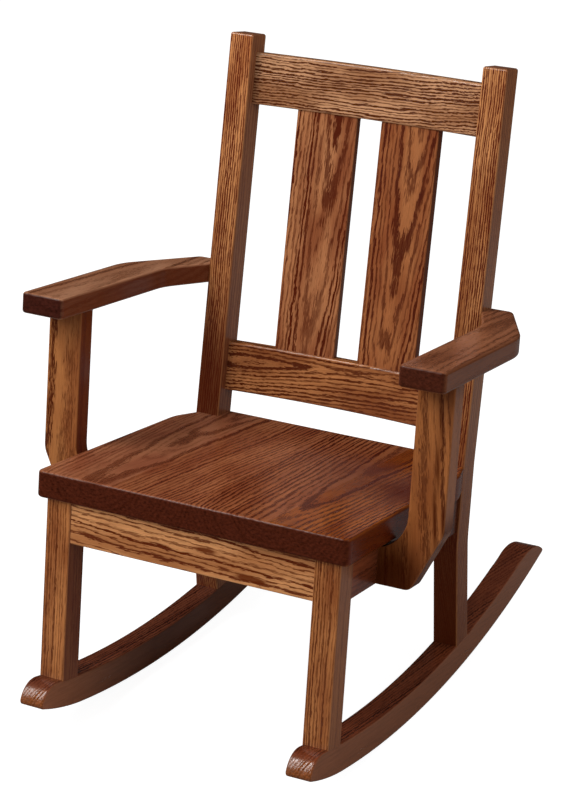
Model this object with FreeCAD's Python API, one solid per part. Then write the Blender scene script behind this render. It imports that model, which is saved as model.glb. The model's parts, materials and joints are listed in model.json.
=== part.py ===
import FreeCAD, Part
import math
import os

# A child's mission style rocking chair in stained oak, drawn in millimetres.
# The chair is first drawn square: X runs to the right, Y to the back and Z up.
# Z = 0 is the underside of the seat and Y = 0 the front of the front legs.
# Each side frame (leg, post, rocker, apron, arm and arm post) is drawn for the right hand in its own
# plane, where U is the distance outwards from the outer face of the legs. It is then turned in by the
# side splay, set out to the right, and mirrored for the left.
# At the end the whole chair leans back until its weight hangs under the centre of the rocker curve,
# and stands on Z = 0 with the middle of its floor plan at X = 0, Y = 0.

# Frame
frame_front_width = 342.2
side_splay_deg = 1.05
post_front = 296.5
leg_size = 29.5
leg_ease = 1.8

# Rear posts
post_width = 28.5
post_depth = 29.7
post_rake_deg = 3.95
post_rise = 426.0
post_kick_deg = 10.6
post_kick_drop = 62.0
post_bend_radius = 90.0
post_top_ease = 2.6

# Rockers
rocker_width = 29.0
rocker_depth = 32.4
rocker_radius = 1083.7
rocker_centre_back = 117.0
rocker_centre_up = 849.3
rocker_nose_start = -9.0
rocker_nose_radius = 25.0
rocker_nose_turn_deg = 90.88
rocker_nose_corner = 4.5
rocker_toe_start = 38.0
rocker_toe_bulge = 2.2
rocker_tail_start = 501.0
rocker_tail_radius = 70.0
rocker_tail_turn_deg = 53.43
rocker_tail_slant = 1.2
rocker_tail_corner = 2.4
rocker_ease = 2.0
leg_seat_depth = 0.8

# Aprons under the seat
apron_height = 44.5
side_apron_height = 46.2
apron_thickness = 19.0
front_apron_recess = 1.0
side_apron_recess = 3.0
rear_apron_recess = 1.0
apron_ease = 1.4
tenon_thickness = 9.0
tenon_shoulder = 5.0
tenon_length = 12.0
mortise_end_gap = 0.5

# Seat panel
seat_thickness = 29.0
seat_side_overhang = 9.0
seat_left_extra = 2.5
seat_front_overhang = 5.2
seat_front_corner = 8.0
seat_corner_start = 30.0
seat_rear_corner = 60.0
seat_ease = 3.4
seat_board_count = 4

# Back
rail_thickness = 18.0
rail_recess = 10.5
rail_sag = 13.0
rail_ease = 2.4
crest_height = 56.4
crest_drop = 19.6
lower_rail_height = 55.0
lower_rail_gap = 28.8
stub_root = 3.0
slat_width = 71.2
slat_thickness = 10.0
slat_spacing = 99.4
slat_recess = 2.2
slat_ease = 1.3
slat_tenon_thickness = 6.0
slat_tenon_length = 13.0

# Arms
arm_top = 198.0
arm_thickness = 22.6
arm_width = 51.0
arm_inset = 22.9
arm_front = 48.0
arm_front_corner = 5.0
arm_inner_bend = 253.0
arm_outer_bend = 240.0
arm_bend_radius = 68.0
arm_tail_width = 26.6
arm_tail_inset = 3.5
arm_tail_corner = 9.0
arm_ease = 3.4

# Arm posts
arm_post_inner = 26.6
arm_post_width = 40.4
arm_post_depth = 22.4
arm_post_front = 92.5
arm_post_sweep_radius = 39.0
arm_post_sweep_start = 31.5
arm_post_outer_start = 19.5
arm_post_foot = 37.6
arm_post_outer_bend = 26.0
arm_post_foot_corner = 11.0
arm_post_ease = 1.8

# Corner blocks inside the aprons
block_root = 11.5
block_face = 30.0
block_height = 36.0
block_bite = 2.0

# Dowels and screws
dowel_clearance = 0.25
rocker_dowel_radius = 4.75
rocker_dowel_in_leg = 30.0
rocker_dowel_in_rocker = 18.0
arm_dowel_radius = 4.0
arm_dowel_in_post = 16.0
arm_dowel_in_arm = 13.0
arm_dowel_spacing = 20.0
screw_head_radius = 4.0
screw_head_height = 3.0
screw_shank_radius = 1.9
screw_clearance = 0.3
block_screw_shank = 22.0
block_screw_sink = 6.0
seat_screw_in_seat = 17.0
seat_screw_sink = 8.0
foot_screw_shank = 34.0
foot_screw_sink = 1.0
foot_screw_spacing = 18.0

# Densities in grams per cubic millimetre, for the rest position
oak_density = 0.00070
steel_density = 0.00785

# Places worked out from the sizes above
half_front = frame_front_width / 2
seat_top = seat_thickness
post_back = post_front + post_depth
far = 3 * frame_front_width
apron_middle_u = -side_apron_recess - apron_thickness / 2
front_apron_back = front_apron_recess + apron_thickness
rear_apron_front = post_back - rear_apron_recess - apron_thickness
arm_bottom = arm_top - arm_thickness
arm_post_middle = arm_post_front + arm_post_depth / 2
rake = math.radians(post_rake_deg)
kick = math.radians(post_kick_deg)
rail_half = half_front - post_width - post_front * math.tan(math.radians(side_splay_deg))
rail_radius = (rail_half ** 2 + rail_sag ** 2) / (2 * rail_sag)
rail_centre = rail_recess + rail_sag - rail_radius
crest_bottom = post_rise - crest_drop - crest_height
rocker_centre = FreeCAD.Vector(0, rocker_centre_back, rocker_centre_up)
lower_rail_top = lower_rail_gap + lower_rail_height
no_turn = FreeCAD.Vector(0, 0, 0)
along_x = FreeCAD.Vector(1, 0, 0)
along_y = FreeCAD.Vector(0, 1, 0)
along_z = FreeCAD.Vector(0, 0, 1)


def box(x0, x1, y0, y1, z0, z1):
    """A block between two corners."""
    return Part.makeBox(x1 - x0, y1 - y0, z1 - z0, FreeCAD.Vector(x0, y0, z0))


def rod(radius, length, base, direction):
    """A round rod from a base point along a direction."""
    return Part.makeCylinder(radius, length, base, direction)


def in_plan(z):
    """A map from an outline drawn in X and Y to the height z."""
    return lambda a, b: FreeCAD.Vector(a, b, z)


def in_side_view(x):
    """A map from an outline drawn in Y and Z to the place x."""
    return lambda a, b: FreeCAD.Vector(x, a, b)


def in_front_view(y):
    """A map from an outline drawn in X and Z to the depth y."""
    return lambda a, b: FreeCAD.Vector(a, y, b)


def outline_face(corners, place):
    """A flat face whose corners (a, b, radius) are rounded by their radius."""
    rounded = []
    for i, (a, b, radius) in enumerate(corners):
        here = FreeCAD.Vector(a, b, 0)
        before = FreeCAD.Vector(*corners[i - 1][:2], 0)
        after = FreeCAD.Vector(*corners[(i + 1) % len(corners)][:2], 0)
        if radius == 0:
            rounded.append((here, None, here))
            continue
        back = (before - here).normalize()
        ahead = (after - here).normalize()
        half_angle = back.getAngle(ahead) / 2
        reach = radius / math.tan(half_angle)
        middle = here + (back + ahead).normalize() * (radius / math.sin(half_angle) - radius)
        rounded.append((here + back * reach, middle, here + ahead * reach))
    edges = []
    for i, (start, middle, end) in enumerate(rounded):
        if middle is not None:
            points = [place(p.x, p.y) for p in (start, middle, end)]
            edges.append(Part.Arc(*points).toShape())
        following = rounded[(i + 1) % len(rounded)][0]
        edges.append(Part.LineSegment(place(end.x, end.y), place(following.x, following.y)).toShape())
    return Part.Face(Part.Wire(edges))


def eased(solid, radius, wanted=lambda centre: True):
    """Rounds over the edges whose centre of mass is wanted."""
    edges = [edge for edge in solid.Edges if wanted(edge.CenterOfMass)]
    return solid.makeFillet(radius, edges)


def single(shape):
    """The one solid that a boolean step leaves, cleaned of seams."""
    return shape.removeSplitter().Solids[0]


def on_right(shape):
    """Sets a side frame piece, drawn in U, Y and Z, out to the right and turns it in by the splay."""
    return shape.rotated(no_turn, along_z, side_splay_deg).translated(along_x * half_front)


def mirrored(shape):
    """The left hand copy of a right hand shape."""
    return shape.mirror(no_turn, along_x)


def beyond_sides(inset):
    """Everything outside the two planes that lie inset inwards of the outer faces of the legs."""
    right = on_right(box(-inset, far, -far, far, -far, far))
    return [right, mirrored(right)]


def trimmed(shape, inset):
    """A cross piece cut off at the planes that lie inset inwards of the side frames."""
    return shape.cut(beyond_sides(inset))


def in_back(shape):
    """Places a piece of the back, drawn upright from the post fronts at the seat top, on the rake."""
    raked = shape.rotated(no_turn, along_x, -post_rake_deg)
    return raked.translated(FreeCAD.Vector(0, post_front, seat_top))


def arc_height(y, radius):
    """The height of a rocker arc of a given radius at the place y."""
    return rocker_centre_up - math.sqrt(radius ** 2 - (y - rocker_centre_back) ** 2)


def rocker_top(y):
    """The height of the top of the rocker at the place y."""
    return arc_height(y, rocker_radius - rocker_depth)


def kicked(y_at_kick, z_kick):
    """Where a line of the lower post, which kicks back below z_kick, meets its seat on the rocker."""
    y = y_at_kick
    for _ in range(30):
        y = y_at_kick + (z_kick - rocker_top(y) + leg_seat_depth) * math.tan(kick)
    return y, rocker_top(y) - leg_seat_depth


def rolled_end(start_y, radius, turn_deg):
    """The start, middle and end of an arc that rolls off the rocker's top at start_y, by its turn."""
    start = FreeCAD.Vector(0, start_y, rocker_top(start_y))
    centre = start + (start - rocker_centre).normalize() * radius
    first = math.atan2(start.y - centre.y, start.z - centre.z)
    last = first + math.radians(turn_deg)
    points = [start]
    for angle in ((first + last) / 2, last):
        points.append(centre + FreeCAD.Vector(0, radius * math.sin(angle), radius * math.cos(angle)))
    return points


def rocker_solid():
    """One rocker: a bent board with rolled ends and a lifted toe."""
    nose_start, nose_middle, nose_tip = rolled_end(rocker_nose_start, rocker_nose_radius,
                                                   -rocker_nose_turn_deg)
    tail_start, tail_middle, tail_tip = rolled_end(rocker_tail_start, rocker_tail_radius,
                                                   rocker_tail_turn_deg)
    toe = FreeCAD.Vector(0, rocker_toe_start, arc_height(rocker_toe_start, rocker_radius))
    toe_middle = (nose_tip + toe) * 0.5 - along_z * rocker_toe_bulge
    heel_y = tail_tip.y - rocker_tail_slant
    heel = FreeCAD.Vector(0, heel_y, arc_height(heel_y, rocker_radius))
    floor_y = (toe.y + heel.y) / 2
    floor_middle = FreeCAD.Vector(0, floor_y, arc_height(floor_y, rocker_radius))
    top_y = (nose_start.y + tail_start.y) / 2
    top_middle = FreeCAD.Vector(0, top_y, rocker_top(top_y))
    edges = [
        Part.Arc(nose_start, nose_middle, nose_tip).toShape(),
        Part.Arc(nose_tip, toe_middle, toe).toShape(),
        Part.Arc(toe, floor_middle, heel).toShape(),
        Part.LineSegment(heel, tail_tip).toShape(),
        Part.Arc(tail_tip, tail_middle, tail_start).toShape(),
        Part.Arc(tail_start, top_middle, nose_start).toShape(),
    ]
    solid = Part.Face(Part.Wire(edges)).extrude(along_x * -rocker_width)
    across = -rocker_width / 2
    corners = [
        (nose_tip, rocker_nose_corner),
        (heel, rocker_tail_corner),
        (tail_tip, rocker_tail_corner),
    ]
    for corner, radius in corners:
        middle = corner + along_x * across
        solid = eased(solid, radius, lambda c: c.distanceToPoint(middle) < rocker_tail_slant / 2)
    return eased(solid, rocker_ease, lambda c: abs(c.x - across) > rocker_width / 2 - rocker_ease)


def front_leg_solid():
    """The right front leg, square in section, with its foot cut to the rocker."""
    foot_front = rocker_top(0) - leg_seat_depth
    foot_back = rocker_top(leg_size) - leg_seat_depth
    corners = [(0, 0, 0), (leg_size, 0, 0), (leg_size, foot_back, 0), (0, foot_front, 0)]
    solid = outline_face(corners, in_side_view(-leg_size)).extrude(along_x * leg_size)
    middle = foot_front / 2
    return eased(solid, leg_ease, lambda c: abs(c.z - middle) < leg_size)


def rear_post_solid():
    """The right rear post: raked back above the seat and kicked back below the aprons."""
    top_y = post_front + post_rise * math.sin(rake)
    top_z = seat_top + post_rise * math.cos(rake)
    top_back_y = top_y + post_depth * math.cos(rake)
    top_back_z = top_z - post_depth * math.sin(rake)
    bend_back_z = seat_top - post_depth * math.tan(rake / 2)
    kick_back_z = -post_kick_drop + post_depth * math.tan(kick / 2)
    foot_y, foot_z = kicked(post_front, -post_kick_drop)
    foot_back_y, foot_back_z = kicked(post_back, kick_back_z)
    corners = [
        (top_y, top_z, 0),
        (top_back_y, top_back_z, 0),
        (post_back, bend_back_z, post_bend_radius),
        (post_back, kick_back_z, post_bend_radius),
        (foot_back_y, foot_back_z, 0),
        (foot_y, foot_z, 0),
        (post_front, -post_kick_drop, post_bend_radius),
        (post_front, seat_top, post_bend_radius),
    ]
    solid = outline_face(corners, in_side_view(-post_width)).extrude(along_x * post_width)
    foot_limit = max(foot_z, foot_back_z) + post_top_ease
    solid = eased(solid, leg_ease, lambda c: foot_limit < c.z < top_back_z - post_top_ease)
    return eased(solid, post_top_ease, lambda c: c.z > top_back_z - post_top_ease)


def side_apron_bar(height, thickness, reach):
    """A bar along the side apron's middle line that runs reach past the leg and the post."""
    middle_z = -side_apron_height / 2
    return box(apron_middle_u - thickness / 2, apron_middle_u + thickness / 2,
               leg_size - reach, post_front + reach,
               middle_z - height / 2, middle_z + height / 2)


def cross_bar(y0, y1, z0, z1):
    """A straight bar right across the chair."""
    return box(-half_front, half_front, y0, y1, z0, z1)


def tenoned_apron(y0, side_width):
    """A front or rear apron, with the shape of its tenons and the mortises that they need."""
    apron = trimmed(cross_bar(y0, y0 + apron_thickness, -apron_height, 0), side_width)
    apron = eased(apron, apron_ease, lambda c: c.z < -apron_height + apron_ease and abs(c.x) < apron_ease)
    middle_y = y0 + apron_thickness / 2
    tongue = cross_bar(middle_y - tenon_thickness / 2, middle_y + tenon_thickness / 2,
                       tenon_shoulder - apron_height, -tenon_shoulder)
    tenon = trimmed(tongue, side_width - tenon_length)
    mortise = trimmed(tongue, side_width - tenon_length - mortise_end_gap)
    return single(apron.fuse(tenon)), mortise


def seat_solid():
    """The whole seat panel before it is parted into boards."""
    side_turn = math.tan(math.radians(side_splay_deg))
    edge_front = half_front + seat_side_overhang + seat_front_overhang * side_turn
    corner_y = post_front - seat_corner_start
    edge_rear = half_front + seat_side_overhang - corner_y * side_turn
    post_outer = half_front - post_front * side_turn
    post_inner = half_front - post_width - post_back * side_turn
    right_half = [
        (edge_front, -seat_front_overhang, seat_front_corner),
        (edge_rear, corner_y, seat_rear_corner),
        (post_outer, post_front, 0),
        (post_inner, post_back, 0),
    ]
    left_half = [(-x, y, radius) for x, y, radius in reversed(right_half)]
    for i in (-2, -1):
        x, y, radius = left_half[i]
        left_half[i] = (x - seat_left_extra, y, radius)
    panel = outline_face(right_half + left_half, in_plan(0)).extrude(along_z * seat_thickness)
    return eased(panel, seat_ease, lambda c: min(c.z, seat_thickness - c.z) < seat_ease)


def seat_boards(panel):
    """The panel parted into boards that run from front to back."""
    edges = panel.BoundBox
    width = (edges.XMax - edges.XMin) / seat_board_count
    boards = []
    for i in range(seat_board_count):
        left = edges.XMin + i * width
        boards.append(single(panel.common(box(left, left + width, -far, far, -far, far))))
    return boards


def bowed_rail(bottom, height):
    """A back rail that bows backwards, with its two tenons and the mortises that they need."""
    half_angle = math.asin(rail_half / rail_radius) * (1 + tenon_length / rail_half)

    def on_arc(radius, angle):
        return FreeCAD.Vector(radius * math.sin(angle), rail_centre + radius * math.cos(angle), bottom)

    back_radius = rail_radius + rail_thickness
    front = [on_arc(rail_radius, angle) for angle in (-half_angle, 0, half_angle)]
    back = [on_arc(back_radius, angle) for angle in (half_angle, 0, -half_angle)]
    edges = [
        Part.Arc(*front).toShape(),
        Part.LineSegment(front[-1], back[0]).toShape(),
        Part.Arc(*back).toShape(),
        Part.LineSegment(back[-1], front[0]).toShape(),
    ]
    board = Part.Face(Part.Wire(edges)).extrude(along_z * height)
    board = eased(board, rail_ease, lambda c: abs(c.x) < rail_ease)
    board = trimmed(in_back(board), post_width)
    middle = rail_recess + rail_thickness / 2
    tongue = in_back(cross_bar(middle - tenon_thickness / 2, middle + tenon_thickness / 2,
                               bottom + tenon_shoulder, bottom + height - tenon_shoulder))
    root = trimmed(tongue, post_width + stub_root)
    tenons = trimmed(tongue, post_width - tenon_length).cut(root)
    mortises = trimmed(tongue, post_width - tenon_length - mortise_end_gap).cut(root)
    return single(board.fuse(tenons)), mortises


def slat_solid(extra):
    """A flat slat centred on X = 0 with tenons at both ends, each longer by extra."""
    low = lower_rail_top
    high = crest_bottom
    board = box(-slat_width / 2, slat_width / 2, 0, slat_thickness, low, high)
    board = eased(board, slat_ease, lambda c: low < c.z < high)
    tongue_inset = (slat_thickness - slat_tenon_thickness) / 2
    half_tongue = slat_width / 2 - tenon_shoulder
    tongue = box(-half_tongue, half_tongue, tongue_inset, slat_thickness - tongue_inset,
                 low - slat_tenon_length - extra, high + slat_tenon_length + extra)
    return single(board.fuse(tongue))


def placed_slat(side, extra=0):
    """A slat set on the bow of the rails, on the side 1 for right or -1 for left."""
    front_radius = rail_radius + slat_recess
    angle = math.asin(slat_spacing / 2 / front_radius) * side
    turned = slat_solid(extra).rotated(no_turn, along_z, -math.degrees(angle))
    spot = FreeCAD.Vector(front_radius * math.sin(angle), rail_centre + front_radius * math.cos(angle), 0)
    return in_back(turned.translated(spot))


def arm_solid():
    """The right arm: a flat board that bends in to the outer face of the rear post."""
    outer = arm_inset + arm_width
    post_y = post_front + (arm_bottom + arm_thickness / 2 - seat_top) * math.tan(rake)
    tail = post_y + post_depth / math.cos(rake) - arm_tail_inset
    corners = [
        (arm_inset, arm_front, arm_front_corner),
        (outer, arm_front, arm_front_corner),
        (outer, arm_outer_bend, arm_bend_radius),
        (arm_tail_width, tail, arm_tail_corner),
        (0, tail, 0),
        (0, post_y, 0),
        (arm_inset, arm_inner_bend, arm_bend_radius),
    ]
    board = outline_face(corners, in_plan(arm_bottom)).extrude(along_z * arm_thickness)
    return eased(board, arm_ease, lambda c: c.x > arm_ease and abs(c.z - arm_bottom - arm_thickness / 2)
                 > arm_thickness / 2 - arm_ease)


def arm_post_solid():
    """The right arm post: a flat board whose foot sweeps in under the seat to the side apron."""
    inner = arm_post_inner
    outer = arm_post_inner + arm_post_width
    foot_outer = arm_post_foot - side_apron_recess
    sweep_centre = inner - arm_post_sweep_radius
    reach = -side_apron_recess - sweep_centre
    sweep_end = arm_post_sweep_start - math.sqrt(arm_post_sweep_radius ** 2 - reach ** 2)
    middle_angle = math.acos(reach / arm_post_sweep_radius) / 2
    spot = in_front_view(arm_post_front)
    sweep_middle = spot(sweep_centre + arm_post_sweep_radius * math.cos(middle_angle),
                        arm_post_sweep_start - arm_post_sweep_radius * math.sin(middle_angle))
    corners = [
        (inner, arm_bottom, 0),
        (outer, arm_bottom, 0),
        (outer, arm_post_outer_start, arm_post_outer_bend),
        (foot_outer, -side_apron_height, arm_post_foot_corner),
        (-side_apron_recess, -side_apron_height, 0),
        (-side_apron_recess, arm_post_sweep_start, 0),
        (inner, arm_post_sweep_start, 0),
    ]
    depth = along_y * arm_post_depth
    board = outline_face(corners, spot).extrude(depth)
    bite = Part.Face(Part.Wire([
        Part.Arc(spot(inner, arm_post_sweep_start), sweep_middle,
                 spot(-side_apron_recess, sweep_end)).toShape(),
        Part.LineSegment(spot(-side_apron_recess, sweep_end),
                         spot(-side_apron_recess, arm_post_sweep_start)).toShape(),
        Part.LineSegment(spot(-side_apron_recess, arm_post_sweep_start),
                         spot(inner, arm_post_sweep_start)).toShape(),
    ])).extrude(depth)
    board = single(board.cut(bite))
    half_depth = arm_post_depth / 2
    glue_line = arm_post_ease - side_apron_recess
    return eased(board, arm_post_ease, lambda c: abs(c.y - arm_post_middle) > half_depth - arm_post_ease
                 and c.z < arm_bottom - arm_post_ease and c.x > glue_line)


def corner_block(corner_u, corner_y, face_y, back_sign):
    """A brace across an inside corner of the aprons, with its three screw places.

    corner_u and corner_y are the inner corner of the leg or post, face_y the face of the cross apron,
    and back_sign is 1 where the block lies behind that apron and -1 where it lies in front of it.
    """
    side_face = -side_apron_recess - apron_thickness
    near_u = corner_u - block_root
    far_u = near_u - block_face
    near_y = corner_y + back_sign * block_root
    far_y = near_y + back_sign * block_face
    buried_y = face_y - back_sign * block_bite
    slope = (far_y - face_y) / (far_u - side_face)
    corners = [
        (near_u, buried_y, 0),
        (far_u, buried_y, 0),
        (far_u, face_y, 0),
        (side_face, far_y, 0),
        (side_face, near_y, 0),
        (near_u, face_y, 0),
    ]
    block = outline_face(corners, in_plan(-block_height)).extrude(along_z * block_height)
    middle_z = -block_height / 2
    screw_u = (near_u + far_u) / 2
    cross_start = face_y + slope * (far_u - screw_u)
    screw_y = (near_y + far_y) / 2
    side_start = side_face + (far_y - screw_y) / slope
    cross_head = FreeCAD.Vector(screw_u, cross_start - back_sign * block_screw_sink, middle_z)
    side_head = FreeCAD.Vector(side_start + block_screw_sink, screw_y, middle_z)
    seat_spot = FreeCAD.Vector((near_u + side_face) / 2, (face_y + near_y) / 2, 0) * 0.5
    seat_spot = seat_spot + FreeCAD.Vector((far_u + side_face) / 2, (face_y + far_y) / 2, 0) * 0.5
    seat_spot.z = seat_screw_sink - block_height
    return block, cross_head, along_y * -back_sign, side_head, seat_spot


def wood_screw(head, direction, shank):
    """A screw whose head starts at a point, and the drilling that clears it."""
    neck = head + direction * screw_head_height
    solid = rod(screw_head_radius, screw_head_height, head, direction)
    solid = solid.fuse(rod(screw_shank_radius, shank, neck, direction))
    bore_radius = screw_head_radius + screw_clearance
    bore = rod(bore_radius, screw_head_height + block_face, head - direction * block_face, direction)
    pilot = rod(screw_shank_radius + screw_clearance, shank + screw_clearance, neck, direction)
    return single(solid), bore.fuse(pilot)


def dowel(radius, centre, direction, before, after):
    """A dowel that runs before and after its joint, and the drilling that clears it."""
    pin = rod(radius, before + after, centre - direction * before, direction)
    drill = rod(radius + dowel_clearance, before + after + 2 * dowel_clearance,
                centre - direction * (before + dowel_clearance), direction)
    return pin, drill


nodes = {}
groups = {}


def add_pair(name, right):
    """Keeps a right hand piece and its mirror image as two nodes."""
    nodes[name + "_right"] = right
    nodes[name + "_left"] = mirrored(right)


def add_to_group(name, right):
    """Adds a right hand fastener and its mirror image to a group."""
    groups.setdefault(name, []).extend([right, mirrored(right)])


def drilled(shape, *tools):
    """A shape with each tool cut away."""
    for tool in tools:
        shape = shape.cut(tool)
    return single(shape)


# Cross pieces with their tenons
front_apron, front_mortise = tenoned_apron(front_apron_recess, leg_size)
rear_apron, rear_mortise = tenoned_apron(rear_apron_front, post_width)
crest_rail, crest_mortise = bowed_rail(crest_bottom, crest_height)
lower_rail, lower_mortise = bowed_rail(lower_rail_gap, lower_rail_height)

# Right side frame
tenon_height = side_apron_height - 2 * tenon_shoulder
side_board = eased(side_apron_bar(side_apron_height, apron_thickness, 0), apron_ease,
                   lambda c: c.z < -side_apron_height + apron_ease and leg_size < c.y < post_front)
side_board = side_board.fuse(side_apron_bar(tenon_height, tenon_thickness, tenon_length))
side_mortise = on_right(side_apron_bar(tenon_height, tenon_thickness, tenon_length + mortise_end_gap))
side_apron = on_right(single(side_board))
front_leg = on_right(front_leg_solid()).cut([front_mortise, side_mortise])
rear_post = on_right(rear_post_solid()).cut([rear_mortise, side_mortise, crest_mortise, lower_mortise])
rocker = on_right(rocker_solid()).cut([front_leg, rear_post])
arm = on_right(arm_solid())
arm_post = on_right(arm_post_solid())

# Dowels that hold the rockers to the legs and posts
leg_middle = leg_size / 2
post_foot_front = kicked(post_front, -post_kick_drop)
post_foot_back = kicked(post_back, -post_kick_drop + post_depth * math.tan(kick / 2))
up_post = FreeCAD.Vector(0, -math.sin(kick), math.cos(kick))
leg_foot = FreeCAD.Vector(-leg_middle, leg_middle, rocker_top(leg_middle) - leg_seat_depth)
post_foot = FreeCAD.Vector(-post_width / 2, (post_foot_front[0] + post_foot_back[0]) / 2,
                           (post_foot_front[1] + post_foot_back[1]) / 2)
for foot, upwards in ((leg_foot, along_z), (post_foot, up_post)):
    pin, drill = dowel(rocker_dowel_radius, foot, upwards, rocker_dowel_in_rocker, rocker_dowel_in_leg)
    drill = on_right(drill)
    add_to_group("rocker_dowels", on_right(pin))
    front_leg = front_leg.cut(drill)
    rear_post = rear_post.cut(drill)
    rocker = rocker.cut(drill)

# Dowels that hold the arms to the arm posts and to the rear posts
arm_post_centre = arm_post_inner + arm_post_width / 2
for share in (-1, 1):
    spot = FreeCAD.Vector(arm_post_centre + share * arm_dowel_spacing / 2, arm_post_middle, arm_bottom)
    pin, drill = dowel(arm_dowel_radius, spot, along_z, arm_dowel_in_post, arm_dowel_in_arm)
    drill = on_right(drill)
    add_to_group("arm_post_dowels", on_right(pin))
    arm = arm.cut(drill)
    arm_post = arm_post.cut(drill)
arm_middle = arm_bottom + arm_thickness / 2
arm_joint_y = post_front + (arm_middle - seat_top) * math.tan(rake) + post_depth / 2
pin, drill = dowel(arm_dowel_radius, FreeCAD.Vector(0, arm_joint_y, arm_middle), along_x,
                   arm_dowel_in_post, arm_dowel_in_arm)
add_to_group("arm_rear_dowels", on_right(pin))
arm = arm.cut(on_right(drill))
rear_post = rear_post.cut(on_right(drill))

# Screws from inside the side aprons into the feet of the arm posts
foot_head_u = -side_apron_recess - apron_thickness + foot_screw_sink
for share in (-1, 1):
    head = FreeCAD.Vector(foot_head_u, arm_post_middle, (share * foot_screw_spacing - side_apron_height) / 2)
    screw, drill = wood_screw(head, along_x, foot_screw_shank)
    drill = on_right(drill)
    add_to_group("arm_post_screws", on_right(screw))
    side_apron = side_apron.cut(drill)
    arm_post = arm_post.cut(drill)

# Corner blocks, their screws and the screws that hold the seat
panel = seat_solid().cut([rear_post, mirrored(rear_post)])
corners = {
    "front": corner_block(-leg_size, leg_size, front_apron_back, 1),
    "rear": corner_block(-post_width, post_front, rear_apron_front, -1),
}
for place, (block, cross_head, cross_way, side_head, seat_spot) in corners.items():
    cross_screw, cross_drill = wood_screw(cross_head, cross_way, block_screw_shank)
    side_screw, side_drill = wood_screw(side_head, along_x, block_screw_shank)
    seat_shank = block_height - seat_screw_sink - screw_head_height + seat_screw_in_seat
    seat_screw, seat_drill = wood_screw(seat_spot, along_z, seat_shank)
    add_to_group("corner_block_screws", on_right(cross_screw))
    add_to_group("corner_block_screws", on_right(side_screw))
    add_to_group("seat_screws", on_right(seat_screw))
    cross_apron = front_apron if place == "front" else rear_apron
    block = on_right(block).cut([cross_apron, on_right(cross_drill), on_right(side_drill),
                                 on_right(seat_drill)])
    add_pair("corner_block_" + place, single(block))
    cross_drills = [on_right(cross_drill), mirrored(on_right(cross_drill))]
    if place == "front":
        front_apron = drilled(front_apron, *cross_drills)
    else:
        rear_apron = drilled(rear_apron, *cross_drills)
    side_apron = side_apron.cut(on_right(side_drill))
    panel = panel.cut([on_right(seat_drill), mirrored(on_right(seat_drill))])

# Slats, and the rails with their slots
rail_slots = [placed_slat(side, mortise_end_gap) for side in (-1, 1)]
nodes["crest_rail"] = drilled(crest_rail, *rail_slots)
nodes["lower_back_rail"] = drilled(lower_rail, *rail_slots)
nodes["back_slat_left"] = placed_slat(-1)
nodes["back_slat_right"] = placed_slat(1)

# The rest of the nodes
nodes["front_apron"] = front_apron
nodes["rear_apron"] = rear_apron
for number, board in enumerate(seat_boards(panel), 1):
    nodes["seat_board_%d" % number] = board
add_pair("rocker", single(rocker))
add_pair("front_leg", single(front_leg))
add_pair("rear_post", single(rear_post))
add_pair("side_apron", single(side_apron))
add_pair("arm", single(arm))
add_pair("arm_post", single(arm_post))
for name, solids in groups.items():
    nodes[name] = Part.makeCompound(solids)

# The lean at rest: the centre of mass hangs under the centre of the rocker curve
mass = 0
moment = FreeCAD.Vector(0, 0, 0)
for name, shape in nodes.items():
    density = steel_density if name.endswith("_screws") else oak_density
    for solid in shape.Solids:
        mass += density * solid.Volume
        moment += solid.CenterOfMass * (density * solid.Volume)
balance = moment * (1 / mass)
lean = math.atan2(balance.y - rocker_centre_back, rocker_centre_up - balance.z)
lean_deg = math.degrees(lean)
floor_drop = rocker_centre_up * math.cos(lean) - rocker_centre_back * math.sin(lean) - rocker_radius
leaning = {name: shape.rotated(no_turn, along_x, -lean_deg) for name, shape in nodes.items()}
rocker_box = leaning["rocker_right"].optimalBoundingBox(False, False)
shift = FreeCAD.Vector(0, -(rocker_box.YMin + rocker_box.YMax) / 2, -floor_drop)
os.makedirs("parts", exist_ok=True)
for name, shape in leaning.items():
    shape.translated(shift).exportStep("parts/%s.step" % name)

print("nodes", len(nodes))
print("mass in grams", round(mass))
print("lean at rest in degrees", round(lean_deg, 3))
print("shift", [round(v, 3) for v in shift])
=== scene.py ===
# %% [markdown]
# # A child's rocking chair in stained oak
# This notebook dresses the CAD model of a small rocking chair. Every shape comes from that model and
# stays as it is, so no piece is modelled here. What is left to make is the wood, the lacquer, the light
# and the camera. The steps go from the camera to the last screw.

# %% Load the frame
import json
import math
from collections import namedtuple

import bpy
from mathutils import Matrix, Vector

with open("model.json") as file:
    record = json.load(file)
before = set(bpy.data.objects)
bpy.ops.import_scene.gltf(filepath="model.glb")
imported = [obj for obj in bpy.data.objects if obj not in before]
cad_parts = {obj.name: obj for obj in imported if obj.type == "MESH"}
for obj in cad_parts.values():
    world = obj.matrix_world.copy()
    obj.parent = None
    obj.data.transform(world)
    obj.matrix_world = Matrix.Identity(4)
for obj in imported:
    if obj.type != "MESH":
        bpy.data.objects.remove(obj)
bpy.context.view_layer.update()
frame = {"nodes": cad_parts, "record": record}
print("pieces in the frame:", len(frame["nodes"]))

# %% [markdown]
# ## The chair's own directions
# The chair leans back a little as it rests on its rockers. Its maker worked square to the seat, so the
# boards are easiest to describe in the chair's own directions, in mm: x to the right, y to the back
# along the seat, z square to the seat. World directions would do too, but then the lean would be in
# every number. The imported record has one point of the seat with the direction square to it, and these
# two facts give the lean and the place of the chair.

# %% From the chair's directions to the world
MM = 0.001
SEAT_POINT = Vector((40, 150, 29)) * MM

seat_mount = frame["record"]["mounts"][0]
seat_normal = Vector(seat_mount["axis"]).normalized()
lean = math.atan2(seat_normal.y, seat_normal.z)
chair_turn = Matrix.Rotation(-lean, 3, "X")
chair_shift = Vector(seat_mount["pos_m"]) - chair_turn @ SEAT_POINT


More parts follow.
